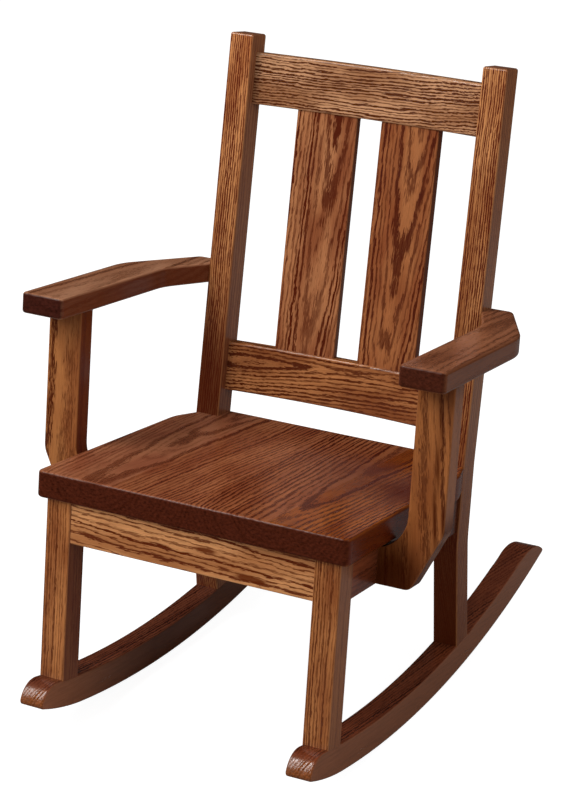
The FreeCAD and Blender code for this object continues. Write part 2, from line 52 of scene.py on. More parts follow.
def chair_point(x, y, z):
    return chair_turn @ (Vector((x, y, z)) * MM) + chair_shift


print("lean in degrees:", round(math.degrees(lean), 3))
print("chair origin in the world:", [round(v, 4) for v in chair_shift])

# %% [markdown]
# ## The camera
# The photograph was taken from the front right, a little above the arms, with a long lens. A camera can
# be set by eye, but a chair has many straight corners, and with them the angles, the distance and the
# lens can be fitted. The angles are counted in the chair's directions. The picture is 800 dots high,
# and that long side belongs to the 36 mm side of the film.

# %% Where the camera stands and how it is turned
AZIMUTH = math.radians(27.08)
ELEVATION = math.radians(15.402)
ROLL = math.radians(3.736)
CAMERA_DISTANCE = 2840.4
AIM = chair_point(17.09, 154.47, 106.62)

to_camera = chair_turn @ Vector((math.sin(AZIMUTH) * math.cos(ELEVATION),
                                 -math.cos(AZIMUTH) * math.cos(ELEVATION),
                                 math.sin(ELEVATION)))
chair_up = chair_turn @ Vector((0, 0, 1))
level_right = (-to_camera).cross(chair_up).normalized()
level_up = level_right.cross(-to_camera)
camera_right = level_right * math.cos(ROLL) + level_up * math.sin(ROLL)
camera_up = level_up * math.cos(ROLL) - level_right * math.sin(ROLL)
camera_turn = Matrix((camera_right, camera_up, to_camera)).transposed().to_4x4()
camera_place = AIM + to_camera * CAMERA_DISTANCE * MM
print("camera at:", [round(v, 3) for v in camera_place])

# %% The lens
FOCAL_DOTS = 2726.97
PICTURE_HEIGHT = 800
FILM = 36.0
CAMERA_REACH = 20

camera_data = bpy.data.cameras.new("camera")
camera_data.lens = FOCAL_DOTS * FILM / PICTURE_HEIGHT
camera_data.sensor_width = FILM
camera_data.clip_end = CAMERA_REACH
camera = bpy.data.objects.new("camera", camera_data)
bpy.context.scene.collection.objects.link(camera)
camera.matrix_world = Matrix.Translation(camera_place) @ camera_turn
bpy.context.scene.camera = camera
bpy.context.scene.view_settings.view_transform = "Standard"
print("lens:", round(camera_data.lens, 1), "mm")

# %% [markdown]
# ## The floor
# The photograph is a cut-out on plain white. A backdrop can be lit until it is white, but the same light
# then falls on the chair. So the floor is one large sheet whose material asks the Light Path node who is
# looking. The camera sees it glow up to white, with a faint shadow under the rockers. Light that bounces
# sees a plain pale floor. A mirrored ray sees it dimmed, because the lacquer of the real chair mirrors a
# studio that is much darker than the white of the picture.

# %% Helpers for node trees
def add_node(tree, kind, **settings):
    node = tree.nodes.new(kind)
    for name, value in settings.items():
        setattr(node, name, value)
    return node


def plug(tree, value, socket):
    if isinstance(value, bpy.types.NodeSocket):
        tree.links.new(value, socket)
    else:
        socket.default_value = value


def math_node(tree, operation, *values, clamp=False):
    node = add_node(tree, "ShaderNodeMath", operation=operation, use_clamp=clamp)
    for value, socket in zip(values, node.inputs):
        plug(tree, value, socket)
    return node.outputs[0]


def smooth(tree, value, low, high, out_low=0.0, out_high=1.0):
    node = add_node(tree, "ShaderNodeMapRange", interpolation_type="SMOOTHSTEP")
    for given_value, socket in zip((value, low, high, out_low, out_high), node.inputs):
        plug(tree, given_value, socket)
    return node.outputs[0]


print("helpers for node trees: add_node, plug, math_node, smooth")

# %% The floor sheet
FLOOR_SIZE = 16

bpy.ops.mesh.primitive_plane_add(size=FLOOR_SIZE, location=(0, 0, 0))
floor = bpy.context.object
floor.name = "floor"
floor.data.name = "floor"
print("floor of", [round(v, 2) for v in floor.dimensions], "m")

# %% The floor to the camera: a glow up to white that keeps the shadow
FLOOR_SHADED = (0.3, 0.3, 0.3, 1)
FLOOR_GLOW = 0.93

floor_material = bpy.data.materials.new("floor_paper")
floor_material.use_nodes = True
paper = floor_material.node_tree
paper.nodes.clear()
shaded = add_node(paper, "ShaderNodeBsdfDiffuse")
shaded.inputs["Color"].default_value = FLOOR_SHADED
glow = add_node(paper, "ShaderNodeEmission")
glow.inputs["Strength"].default_value = FLOOR_GLOW
white = add_node(paper, "ShaderNodeAddShader")
paper.links.new(shaded.outputs[0], white.inputs[0])
paper.links.new(glow.outputs[0], white.inputs[1])
print("floor to the camera: glow", FLOOR_GLOW, "and shade", FLOOR_SHADED[0])

# %% The floor to a mirrored ray: dim, a little brighter on the right, dark toward both ends
FLOOR_MIRRORED = 0.2
FLOOR_MIRRORED_RIGHT = 0.31
FRONT_MIRRORED = 0.02
RIGHT_REACH = (0.0, 0.45)
FRONT_REACH = (-1.2, 0.3)
BACK_REACH = (1.2, 2.6)

spot = add_node(paper, "ShaderNodeNewGeometry")
spot_parts = add_node(paper, "ShaderNodeSeparateXYZ")
paper.links.new(spot.outputs["Position"], spot_parts.inputs[0])
beside = smooth(paper, spot_parts.outputs["X"], *RIGHT_REACH, FLOOR_MIRRORED, FLOOR_MIRRORED_RIGHT)
in_front = smooth(paper, spot_parts.outputs["Y"], *FRONT_REACH, FRONT_MIRRORED, beside)
floor_tone = smooth(paper, spot_parts.outputs["Y"], *BACK_REACH, in_front, FRONT_MIRRORED)
dimmed = add_node(paper, "ShaderNodeBsdfDiffuse")
paper.links.new(floor_tone, dimmed.inputs["Color"])
print("floor to a mirrored ray:", FLOOR_MIRRORED, "left,", FLOOR_MIRRORED_RIGHT, "right")

# %% Who is looking at the floor
FLOOR_PLAIN = (0.4, 0.4, 0.4, 1)


def mirrored_ray(tree, path):
    return math_node(tree, "MAXIMUM", path.outputs["Is Glossy Ray"],
                     path.outputs["Is Transmission Ray"])


def shader_choice(tree, share, first, second):
    node = add_node(tree, "ShaderNodeMixShader")
    for value, socket in zip((share, first, second), node.inputs):
        tree.links.new(value, socket)
    return node.outputs[0]


path = add_node(paper, "ShaderNodeLightPath")
plain = add_node(paper, "ShaderNodeBsdfDiffuse")
plain.inputs["Color"].default_value = FLOOR_PLAIN
lit = shader_choice(paper, mirrored_ray(paper, path), plain.outputs[0], dimmed.outputs[0])
seen = shader_choice(paper, path.outputs["Is Camera Ray"], lit, white.outputs[0])
surface = add_node(paper, "ShaderNodeOutputMaterial")
paper.links.new(seen, surface.inputs[0])
floor.data.materials.append(floor_material)
print("nodes in the floor's material:", len(paper.nodes))

# %% [markdown]
# ## The studio round the floor
# Past the floor there is only the world, and it answers the same question as the floor does: white to
# the camera, a plain even light to bounced rays, and a dim wall and ceiling to mirrored ones. Real walls
# round the chair could do it too, but they would catch the lamps' light and throw it back at the chair.

# %% The world
WORLD_LIGHT = 0.44
WHITE = (1, 1, 1, 1)
VIEWER_WALL_MIRRORED = 0.016
BACK_WALL_MIRRORED = 0.0088
CEILING_MIRRORED = 0.008
WALL_TURN = (-0.3, 0.3)
CEILING_RISE = (-0.05, 0.18)

world = bpy.data.worlds.new("studio")
bpy.context.scene.world = world
world.use_nodes = True
studio = world.node_tree
studio.nodes.clear()
path = add_node(studio, "ShaderNodeLightPath")
direction = add_node(studio, "ShaderNodeTexCoord")
direction_parts = add_node(studio, "ShaderNodeSeparateXYZ")
studio.links.new(direction.outputs["Generated"], direction_parts.inputs[0])
walls = smooth(studio, direction_parts.outputs["Y"], *WALL_TURN, VIEWER_WALL_MIRRORED, BACK_WALL_MIRRORED)
room = smooth(studio, direction_parts.outputs["Z"], *CEILING_RISE, walls, CEILING_MIRRORED)
mirrored = mirrored_ray(studio, path)
mirror_light = math_node(studio, "MULTIPLY", mirrored, room)
plain_light = math_node(studio, "MULTIPLY", math_node(studio, "SUBTRACT", 1.0, mirrored), WORLD_LIGHT)
all_light = math_node(studio, "ADD", mirror_light, plain_light)
strength = math_node(studio, "MAXIMUM", all_light, path.outputs["Is Camera Ray"])
background = add_node(studio, "ShaderNodeBackground")
background.inputs["Color"].default_value = WHITE
studio.links.new(strength, background.inputs["Strength"])
surface = add_node(studio, "ShaderNodeOutputWorld")
studio.links.new(background.outputs[0], surface.inputs[0])
print("world light:", WORLD_LIGHT)

# %% [markdown]
# ## Lamps
# The studio has three soft boxes. The main one stands at the front left and high, so the faces that look
# to the right stay darker. A smaller one beside it draws thin lines of light on the eased front edges,
# and a weak one fills from the right. Spot lamps would be simpler, but their shadows have hard edges,
# and a square area lamp also mirrors in lacquer as a real soft box does.

# %% Three soft boxes
LAMP_AIM = Vector((0, 0, 0.3))


def soft_box(name, place, size, power):
    lamp_data = bpy.data.lights.new(name, "AREA")
    lamp_data.shape = "SQUARE"
    lamp_data.size = size
    lamp_data.energy = power
    lamp = bpy.data.objects.new(name, lamp_data)
    bpy.context.scene.collection.objects.link(lamp)
    lamp.location = place
    lamp.rotation_euler = (LAMP_AIM - Vector(place)).to_track_quat("-Z", "Y").to_euler()
    print(name, "at", place, "power", power)


soft_box("main_softbox", place=(-1.44, -1.84, 2.48), size=1.9, power=46.0)
soft_box("edge_softbox", place=(-1.05, -0.85, 2.3), size=0.5, power=10.0)
soft_box("fill_softbox", place=(2.3, -0.7, 2.1), size=1.0, power=5.0)

# %% [markdown]
# ## How a board gets its grain
# Wood grain is not paint on a surface, it is a solid: a tree grows a ring each year, and a board is cut
# through the rings. A flat pattern could be laid on each face, but it would not meet itself round a
# corner. So the pattern is worked out in the board's own directions: the first runs along the grain, the
# second across the face and the third through the thickness. A Mapping node set to Texture turns world
# places into board places, which is right here because every object sits at the origin.

# %% A board's own directions
UP = (0, 0, 1)
RIGHT = (1, 0, 0)


def board_place(origin, along, across):
    along = (chair_turn @ Vector(along)).normalized()
    across = chair_turn @ Vector(across)
    across = (across - along * across.dot(along)).normalized()
    through = along.cross(across)
    turn = Matrix((along, across, through)).transposed()
    return {"origin": chair_point(*origin), "turn": turn, "along": along, "across": across,
            "through": through}


example = board_place((0, 0, 0), UP, RIGHT)
print("an upright board's grain in the world:", [round(v, 3) for v in example["along"]])

# %% [markdown]
# ## Stained open-grained oak
# Oak grows a band of wide pores each spring and dense wood after it. Dark stain settles in the pores, so
# the bands show as rows of dark dashes on a golden brown ground. Where the saw meets the rings at a low
# angle they open into flames, and where it meets them square they run as straight lines. Blender's Wave
# texture draws even rings, which looks like plastic. The node group below counts uneven rings instead,
# and holds all of the wood once, so that each board only has to say what is its own.

# %% What the oak group is told, and what it answers
OAK_INPUTS = (
    ("Board", "NodeSocketVector"),  # the place in the board's own directions, in mm
    ("Seed", "NodeSocketFloat"),  # gives each board its own chance
    ("Ring", "NodeSocketFloat"),  # width of a year, in mm
    ("Pith across", "NodeSocketFloat"),  # the middle of the tree, across the face
    ("Pith deep", "NodeSocketFloat"),  # the middle of the tree, under the face
    ("Taper", "NodeSocketFloat"),  # how fast the rings climb along the board
    ("Wander", "NodeSocketFloat"),  # slow bends of the rings, in mm
    ("Ripple", "NodeSocketFloat"),  # quick bends of the rings, in mm
    ("Swell", "NodeSocketFloat"),  # places where the rings bulge, in mm
    ("Spring share", "NodeSocketFloat"),  # share of a year that is porous spring wood
    ("Contrast", "NodeSocketFloat"),  # how dark the stain sits in the pores
    ("Ragged", "NodeSocketFloat"),  # how torn the edges of the rings are
    ("Mark or shade", "NodeSocketFloat"),  # real marks of darker, duller stain, and painted shade under the arms and the seat
    ("Tone slope", "NodeSocketFloat"),  # painted light and shade along the board, per mm
    ("Pale", "NodeSocketColor"),  # the palest ground
    ("Brown", "NodeSocketColor"),  # the deepest ground
    ("Dark", "NodeSocketColor"),  # the stain in the pores
    ("End", "NodeSocketFloat"),  # 1 on end grain
    ("End colour", "NodeSocketColor"),
    ("End shine", "NodeSocketFloat"),
    ("Side", "NodeSocketFloat"),  # up to 1 on the narrow side faces
    # Side shading colour: painted shading of the side faces, shade on most boards and light on the
    # rockers
    ("Side colour", "NodeSocketColor"),
    ("Side shine", "NodeSocketFloat"),
    ("Side slope", "NodeSocketFloat"),  # how strong the slope is on the sides
    ("Side mark", "NodeSocketFloat"),  # how strong the marks are on the sides
    ("Edge", "NodeSocketFloat"),  # 1 on the eased edges
)
OAK_OUTPUTS = (
    ("Colour", "NodeSocketColor"),
    ("Roughness", "NodeSocketFloat"),
    ("Shine", "NodeSocketFloat"),
    ("Height", "NodeSocketFloat"),
)

oak = bpy.data.node_groups.new("stained_oak", "ShaderNodeTree")
for name, kind in OAK_INPUTS:
    oak.interface.new_socket(name=name, in_out="INPUT", socket_type=kind)
for name, kind in OAK_OUTPUTS:
    oak.interface.new_socket(name=name, in_out="OUTPUT", socket_type=kind)
given = oak.nodes.new("NodeGroupInput").outputs
result = oak.nodes.new("NodeGroupOutput").inputs
print("the oak group takes", len(OAK_INPUTS), "values and answers with", len(OAK_OUTPUTS))


# %% Helpers inside the group
def oak_math(operation, *values, clamp=False):
    return math_node(oak, operation, *values, clamp=clamp)


def between(share, at_none, at_full, clamp=False):
    if isinstance(at_full, bpy.types.NodeSocket):
        change = oak_math("SUBTRACT", at_full, at_none)
    else:
        change = at_full - at_none
    return oak_math("MULTIPLY_ADD", share, change, at_none, clamp=clamp)


def oak_noise(waves_per_mm, detail=2.0, roughness=0.5):
    placed = add_node(oak, "ShaderNodeVectorMath", operation="MULTIPLY_ADD")
    oak.links.new(given["Board"], placed.inputs[0])
    placed.inputs[1].default_value = waves_per_mm
    seeded = add_node(oak, "ShaderNodeCombineXYZ")
    for socket in seeded.inputs:
        oak.links.new(given["Seed"], socket)
    oak.links.new(seeded.outputs[0], placed.inputs[2])
    noise = add_node(oak, "ShaderNodeTexNoise")
    oak.links.new(placed.outputs[0], noise.inputs["Vector"])
    noise.inputs["Scale"].default_value = 1.0
    noise.inputs["Detail"].default_value = detail
    noise.inputs["Roughness"].default_value = roughness
    return noise


print("helpers inside the oak group: oak_math, between, oak_noise")

# %% [markdown]
# ## Year rings
# On a sawn board the rings are neither round nor even. The distance from the pith could be used as it
# is, but then every flame would be a perfect curve. So each point is first moved a little by a slow
# noise and a quick one, as the tree bent while it grew, and the distance is then counted in years. Wide
# and narrow years take turns, and a fine streaky noise tears the edge of each ring along the grain.

# %% Distance from the pith, bent by growth
SLOW_WAVES = (0.007, 0.016, 0.016)
QUICK_WAVES = (0.036, 0.10, 0.10)
NOISE_MIDDLE = 0.5

place = add_node(oak, "ShaderNodeSeparateXYZ")
oak.links.new(given["Board"], place.inputs[0])
slow = add_node(oak, "ShaderNodeSeparateColor")
oak.links.new(oak_noise(SLOW_WAVES).outputs["Color"], slow.inputs[0])
quick = add_node(oak, "ShaderNodeSeparateColor")
oak.links.new(oak_noise(QUICK_WAVES, detail=3.0).outputs["Color"], quick.inputs[0])


def wandered(position, slow_share, quick_share):
    slow_bend = oak_math("MULTIPLY", oak_math("SUBTRACT", slow_share, NOISE_MIDDLE), given["Wander"])
    quick_bend = oak_math("MULTIPLY", oak_math("SUBTRACT", quick_share, NOISE_MIDDLE), given["Ripple"])
    return oak_math("ADD", position, oak_math("ADD", slow_bend, quick_bend))


across = wandered(place.outputs["Y"], slow.outputs[0], quick.outputs[0])
deep = wandered(place.outputs["Z"], slow.outputs[1], quick.outputs[1])
from_pith_across = oak_math("SUBTRACT", across, given["Pith across"])
from_pith_deep = oak_math("SUBTRACT", deep, given["Pith deep"])
square_sum = oak_math("ADD", oak_math("POWER", from_pith_across, 2.0),
                      oak_math("POWER", from_pith_deep, 2.0))
from_pith = oak_math("SQRT", square_sum)
print("nodes so far in the oak group:", len(oak.nodes))

# %% Counting uneven years
YEAR_CHANGES = 0.37
YEAR_UNEVENNESS = 0.9
STREAK_WAVES = (0.045, 0.8, 0.8)
TORN_WAVES = (0.13, 1.1, 1.1)
TORN_SHARE = 0.6

grown = oak_math("MULTIPLY_ADD", place.outputs["X"], given["Taper"], from_pith)
grown = oak_math("ADD", grown, given["Swell"])
rings = oak_math("DIVIDE", grown, given["Ring"])
years = add_node(oak, "ShaderNodeTexNoise", noise_dimensions="1D")
oak.links.new(oak_math("MULTIPLY_ADD", rings, YEAR_CHANGES, given["Seed"]), years.inputs["W"])
years.inputs["Scale"].default_value = 1.0
years.inputs["Detail"].default_value = 1.0
rings = oak_math("ADD", rings, oak_math("MULTIPLY", years.outputs[0], YEAR_UNEVENNESS))
streak = oak_noise(STREAK_WAVES, detail=3.0, roughness=0.6).outputs[0]
torn = oak_noise(TORN_WAVES, detail=1.0).outputs[0]
tear = oak_math("ADD", oak_math("SUBTRACT", streak, NOISE_MIDDLE),
                oak_math("MULTIPLY", oak_math("SUBTRACT", torn, NOISE_MIDDLE), TORN_SHARE))
ragged = oak_math("MULTIPLY_ADD", tear, given["Ragged"], rings)
share_of_year = oak_math("FRACT", ragged)
year = oak_math("FLOOR", ragged)
year_chance = add_node(oak, "ShaderNodeTexWhiteNoise", noise_dimensions="1D")
oak.links.new(oak_math("ADD", year, given["Seed"]), year_chance.inputs["W"])
print("nodes so far in the oak group:", len(oak.nodes))

# %% [markdown]
# ## Spring wood and pores
# Each year starts with a sharp edge of porous spring wood that fades into dense late wood. A colour ramp
# over the year could draw it, but every year would then look alike. Here chance gives each year its own
# width and strength. The pores are long thin dashes along the grain: a noise stretched along the board
# shows a dash where it passes a limit, and that limit is lower in spring wood, so the dashes crowd there.

# %% Spring wood
SPRING_WIDTHS = (0.65, 1.35)
SPRING_STRENGTHS = (0.55, 1.1)
SPRING_START = 0.08
SPRING_FADE = 0.26

spring_end = oak_math("MULTIPLY", given["Spring share"], between(year_chance.outputs[0], *SPRING_WIDTHS))
start = smooth(oak, share_of_year, 0.0, SPRING_START)
fade = smooth(oak, share_of_year, spring_end, oak_math("ADD", spring_end, SPRING_FADE), 1.0, 0.0)
spring = oak_math("MULTIPLY", start, fade)
spring = oak_math("MULTIPLY", spring, between(year_chance.outputs[0], *SPRING_STRENGTHS))
print("nodes so far in the oak group:", len(oak.nodes))

# %% Pores, fibres and patches
PORE_WAVES = (0.07, 1.3, 1.3)
FIBRE_WAVES = (0.03, 1.1, 1.1)
PATCH_WAVES = (0.009, 0.035, 0.035)
PORE_LIMITS = (0.6, 0.47)
PORE_SOFTNESS = 0.1
PORE_STRENGTHS = (0.25, 1.0)

dashes = oak_noise(PORE_WAVES, roughness=0.55).outputs[0]
pore_limit = between(spring, *PORE_LIMITS)
pores = smooth(oak, dashes, pore_limit, oak_math("ADD", pore_limit, PORE_SOFTNESS))
pores = oak_math("MULTIPLY", pores, between(spring, *PORE_STRENGTHS), clamp=True)
fibres = oak_noise(FIBRE_WAVES, detail=3.0, roughness=0.7).outputs[0]
patches = oak_noise(PATCH_WAVES).outputs[0]
print("nodes so far in the oak group:", len(oak.nodes))

# %% [markdown]
# ## The colour of the stained wood
# Stain is clear colour, so the wood under it still shows. The ground runs between a pale and a deep
# brown in slow patches and turns deeper late in the year, and the fibres streak it finely. Spring wood
# and pores are then mixed toward the dark stain. A Color Ramp could hold these tones, but three named
# colours are easier to set board by board.

# %% The ground and the dark stain
PATCH_SPAN = (0.35, 0.68)
LATE_SPAN = (0.55, 1.0)
LATE_DEPTH = 0.25
FIBRE_TONES = (0.52, 1.52)
STAIN_DEPTH = 0.95
MIX_SHARE = 0  # where a colour Mix node keeps its sockets
MIX_FIRST = 6
MIX_SECOND = 7
MIX_RESULT = 2


def oak_mix(share, first, second, blend="MIX"):
    node = add_node(oak, "ShaderNodeMix", data_type="RGBA", blend_type=blend)
    plug(oak, share, node.inputs[MIX_SHARE])
    plug(oak, first, node.inputs[MIX_FIRST])
    plug(oak, second, node.inputs[MIX_SECOND])
    return node.outputs[MIX_RESULT]


def oak_grey(tone):
    node = add_node(oak, "ShaderNodeCombineColor")
    for socket in node.inputs[:3]:
        oak.links.new(tone, socket)
    return node.outputs[0]


def dark_stained(colour, where):
    depth = oak_math("MULTIPLY", oak_math("MULTIPLY", where, STAIN_DEPTH), given["Contrast"], clamp=True)
    return oak_mix(depth, colour, given["Dark"])


ground = oak_mix(smooth(oak, patches, *PATCH_SPAN), given["Pale"], given["Brown"])
late = smooth(oak, share_of_year, *LATE_SPAN)
ground = oak_mix(oak_math("MULTIPLY", late, LATE_DEPTH), ground, given["Brown"])
fibre_grey = oak_grey(between(fibres, *FIBRE_TONES))
ground = oak_mix(1.0, ground, fibre_grey, "MULTIPLY")
stained = dark_stained(dark_stained(ground, spring), pores)
print("nodes so far in the oak group:", len(oak.nodes))

# %% [markdown]
# ## What the stain does on one board
# Real boards are not stained evenly, and here and there a soft dark patch of stain stays. The narrow
# side faces take a plainer colour of their own, which is painted shade on most boards and painted light
# on the rockers' sides. Some boards grow lighter or darker along their length, which is painted light
# and shade. The chair also lies in soft shades under the arms and the seat. Lamps could try to throw
# them, but a lamp that darkens one place changes all the others, so they are painted as such patches.

# %% Side faces and the slope of tone
# Painted shading: the side faces get a plainer colour of their own, painted shade on most boards and
# painted light on the rockers' large sides. The slope paints light and shade along a board: lighter on
# one side of its origin, and mixed toward the dark stain on the other.
SIDE_FIBRES = 0.6
SINK_PACE = -1.5
SINK_MOST = 0.65

painted_side_shading = oak_mix(SIDE_FIBRES, given["Side colour"], fibre_grey, "MULTIPLY")
stained = oak_mix(given["Side"], stained, painted_side_shading)
slope = oak_math("MULTIPLY", place.outputs["X"], given["Tone slope"])
slope = oak_math("MULTIPLY", slope, between(given["Side"], 1.0, given["Side slope"]))
painted_light_lift = oak_math("ADD", oak_math("MAXIMUM", slope, 0.0), 1.0)
stained = oak_mix(1.0, stained, oak_grey(painted_light_lift), "MULTIPLY")
painted_shade_sink = oak_math("MINIMUM", oak_math("MULTIPLY", slope, SINK_PACE, clamp=True), SINK_MOST)
stained = oak_mix(painted_shade_sink, stained, given["Dark"])
print("nodes so far in the oak group:", len(oak.nodes))

# %% Marks
# A mark is either real darker stain, such as the apron's dashes and the arm post's streaks, or a painted
# shade under the arms and the seat. Both dull the lacquer too.
MARK_AND_SHADE_STREAKS = (0.4, 1.0)
MARK_AND_SHADE_DEPTH = 0.9

marked_or_shaded = oak_math("MULTIPLY", given["Mark or shade"], between(streak, *MARK_AND_SHADE_STREAKS), clamp=True)
marked_or_shaded = oak_math("MULTIPLY", marked_or_shaded, between(given["Side"], 1.0, given["Side mark"]))
stained = oak_mix(oak_math("MULTIPLY", marked_or_shaded, MARK_AND_SHADE_DEPTH), stained, given["Dark"])
print("nodes so far in the oak group:", len(oak.nodes))

# %% [markdown]
# ## End grain and eased edges
# At the end of a board the pores are open straws that drink the stain, so the end is dark and blotchy.
# On the eased edges the cloth rubs some of the stain off again. A second material on the end faces
# could do this, but here a board's mesh stays as it is, so both are mixed in where the face looks the
# right way.

# %% End grain and edges
BLOTCH_WAVES = (0.05, 0.3, 0.5)
BLOTCH_STRENGTH = 2.0
END_TONES = (0.08, -0.17)
EDGE_RUB = 0.35

blotches = oak_noise(BLOTCH_WAVES, detail=3.0, roughness=0.6).outputs[0]
end_shade = oak_math("MULTIPLY_ADD", blotches, BLOTCH_STRENGTH, between(spring, *END_TONES))
end_tone = oak_mix(1.0, given["End colour"], oak_grey(end_shade), "MULTIPLY")
stained = oak_mix(given["End"], stained, end_tone)
rubbed = oak_mix(oak_math("MULTIPLY", given["Edge"], EDGE_RUB), stained, given["Pale"])
oak.links.new(rubbed, result["Colour"])
print("nodes so far in the oak group:", len(oak.nodes))

# %% [markdown]
# ## Satin lacquer
# The chair has a thin satin lacquer. It is not a mirror: its gloss is cloudy, a little rougher over the
# pores, and it dips into them. A clear coat layer could be laid over the wood, but the lacquer has sunk
# in and has no depth to see, so one gloss with roughness, level and bump of its own is enough. End
# grain, some side faces and the dark patches keep less gloss.

# %% How rough and how strong the gloss is
CLOUD_WAVES = (0.02, 0.05, 0.05)
GLOSS_ROUGHNESS = (0.17, 0.27)
PORE_ROUGHNESS = 0.04
END_GAPS = (1.0, -0.3)
GLOSS_LEVELS = (0.5, 0.08)

cloud = oak_noise(CLOUD_WAVES).outputs[0]
gloss = oak_math("MULTIPLY_ADD", pores, PORE_ROUGHNESS, between(cloud, *GLOSS_ROUGHNESS))
oak.links.new(gloss, result["Roughness"])
end_streaks = oak_math("MULTIPLY", given["End shine"], between(spring, *END_GAPS, clamp=True))
end_level = between(given["End"], 1.0, end_streaks)
side_level = between(given["Side"], 1.0, given["Side shine"])
level = oak_math("MULTIPLY", oak_math("MULTIPLY", end_level, side_level), between(marked_or_shaded, *GLOSS_LEVELS))
oak.links.new(level, result["Shine"])
print("nodes so far in the oak group:", len(oak.nodes))

# %% The dips of pores, fibres and spring wood, in mm
PORE_DIPS = (-0.06, -0.015)
FIBRE_RISES = (0.012, 0.004)
SPRING_DIPS = (-0.02, -0.065)

fibre_height = oak_math("MULTIPLY", fibres, between(given["End"], *FIBRE_RISES))
height = oak_math("MULTIPLY_ADD", pores, between(given["End"], *PORE_DIPS), fibre_height)
glossy_end = oak_math("MULTIPLY", given["End"], given["End shine"])
height = oak_math("MULTIPLY_ADD", spring, between(glossy_end, *SPRING_DIPS), height)
oak.links.new(height, result["Height"])
print("nodes in the oak group:", len(oak.nodes))

# %% [markdown]
# ## One material per board
# Each board gets a material of its own, with the same oak group and its own numbers. Its end, side and
# eased edge are found by the direction of the face: an end looks along the grain, a side looks across
# it, and an edge looks halfway between. The faces could be painted by hand instead, but a direction
# needs no painting and stays right when a size changes. Marks and bulges are soft round patches whose
# middle and reach are given along and across the board, in mm.

# %% Which way a face looks
SIDE_SPAN = (0.4, 0.95)
EDGE_SPAN = (0.2, 0.5)


def facing(tree, direction):
    normal = add_node(tree, "ShaderNodeNewGeometry")
    dot = add_node(tree, "ShaderNodeVectorMath", operation="DOT_PRODUCT")
    tree.links.new(normal.outputs["Normal"], dot.inputs[0])
    dot.inputs[1].default_value = direction
    return math_node(tree, "ABSOLUTE", dot.outputs["Value"])


def tell_faces(tree, group, place, side_shading, end_span):
    end = smooth(tree, facing(tree, place["along"]), *end_span)
    tree.links.new(end, group.inputs["End"])
    side = smooth(tree, facing(tree, place["across"]), *SIDE_SPAN, 0.0, side_shading)
    tree.links.new(side, group.inputs["Side"])
    turned = facing(tree, place["through"])
    left_over = math_node(tree, "SUBTRACT", 1.0, math_node(tree, "MULTIPLY", turned, turned), clamp=True)
    halfway = math_node(tree, "MULTIPLY", turned, math_node(tree, "SQRT", left_over))
    edge = smooth(tree, halfway, *EDGE_SPAN)
    edge = math_node(tree, "MULTIPLY", edge, math_node(tree, "SUBTRACT", 1.0, end))
    tree.links.new(edge, group.inputs["Edge"])


print("side stain starts", round(math.degrees(math.acos(SIDE_SPAN[0]))), "degrees from square on")

# %% Soft patches on a board
Patch = namedtuple("Patch", "along across length width strength")


def patch_sum(tree, board, patches):
    place = add_node(tree, "ShaderNodeSeparateXYZ")
    tree.links.new(board, place.inputs[0])
    total = 0.0
    for patch in patches:
        along = math_node(tree, "DIVIDE", math_node(tree, "SUBTRACT", place.outputs["X"], patch.along),
                          patch.length)
        across = math_node(tree, "DIVIDE", math_node(tree, "SUBTRACT", place.outputs["Y"], patch.across),
                           patch.width)
        spread = math_node(tree, "ADD", math_node(tree, "MULTIPLY", along, along),
                           math_node(tree, "MULTIPLY", across, across))
        soft = math_node(tree, "EXPONENT", math_node(tree, "MULTIPLY", spread, -1.0))
        total = math_node(tree, "MULTIPLY_ADD", soft, patch.strength, total)
    return total


print("a patch is told by:", Patch._fields)

# %% From the oak group to the shader
BUMP_STRENGTH = 0.6
LACQUER_IOR = 1.5


def board_vector(tree, place):
    where = add_node(tree, "ShaderNodeTexCoord")
    mapping = add_node(tree, "ShaderNodeMapping", vector_type="TEXTURE")
    mapping.inputs["Location"].default_value = place["origin"]
    mapping.inputs["Rotation"].default_value = place["turn"].to_euler()
    mapping.inputs["Scale"].default_value = (MM, MM, MM)
    tree.links.new(where.outputs["Object"], mapping.inputs["Vector"])
    return mapping.outputs["Vector"]


def shade_board(tree, group):
    bump = add_node(tree, "ShaderNodeBump")
    bump.inputs["Strength"].default_value = BUMP_STRENGTH
    bump.inputs["Distance"].default_value = MM
    tree.links.new(group.outputs["Height"], bump.inputs["Height"])
    shader = add_node(tree, "ShaderNodeBsdfPrincipled")
    shader.inputs["IOR"].default_value = LACQUER_IOR
    tree.links.new(group.outputs["Colour"], shader.inputs["Base Color"])
    tree.links.new(group.outputs["Roughness"], shader.inputs["Roughness"])
    tree.links.new(group.outputs["Shine"], shader.inputs["Specular IOR Level"])
    tree.links.new(bump.outputs[0], shader.inputs["Normal"])
    surface = add_node(tree, "ShaderNodeOutputMaterial")
    tree.links.new(shader.outputs[0], surface.inputs[0])


print("bump strength", BUMP_STRENGTH, "and lacquer IOR", LACQUER_IOR)

# %% [markdown]
# ## The plain look
# The plain look is a mid brown board with fine straight pores, because its pith lies far to the side.
# Every board starts from it and says only what is its own: where its pith is, how wide its rings are,
# and how it took the stain. Each board could list all its values, but then it would be hard to see what
# makes it different.

# %% The plain look
PLAIN = {
    "Seed": 0.0, "Ring": 3.0, "Pith across": 140.0, "Pith deep": -60.0, "Taper": 0.004,
    "Wander": 7.0, "Ripple": 1.8, "Swell": 0.0, "Spring share": 0.36, "Contrast": 0.95,
    "Ragged": 1.2, "Mark or shade": 0.0, "Tone slope": 0.0,
    "Pale": (0.53, 0.20, 0.063), "Brown": (0.29, 0.085, 0.024), "Dark": (0.115, 0.020, 0.003),
    "End colour": (0.074, 0.0145, 0.006), "End shine": 0.22,
    "Side colour": (0.32, 0.11, 0.045), "Side shine": 1.0, "Side slope": 0.0, "Side mark": 1.0,
}


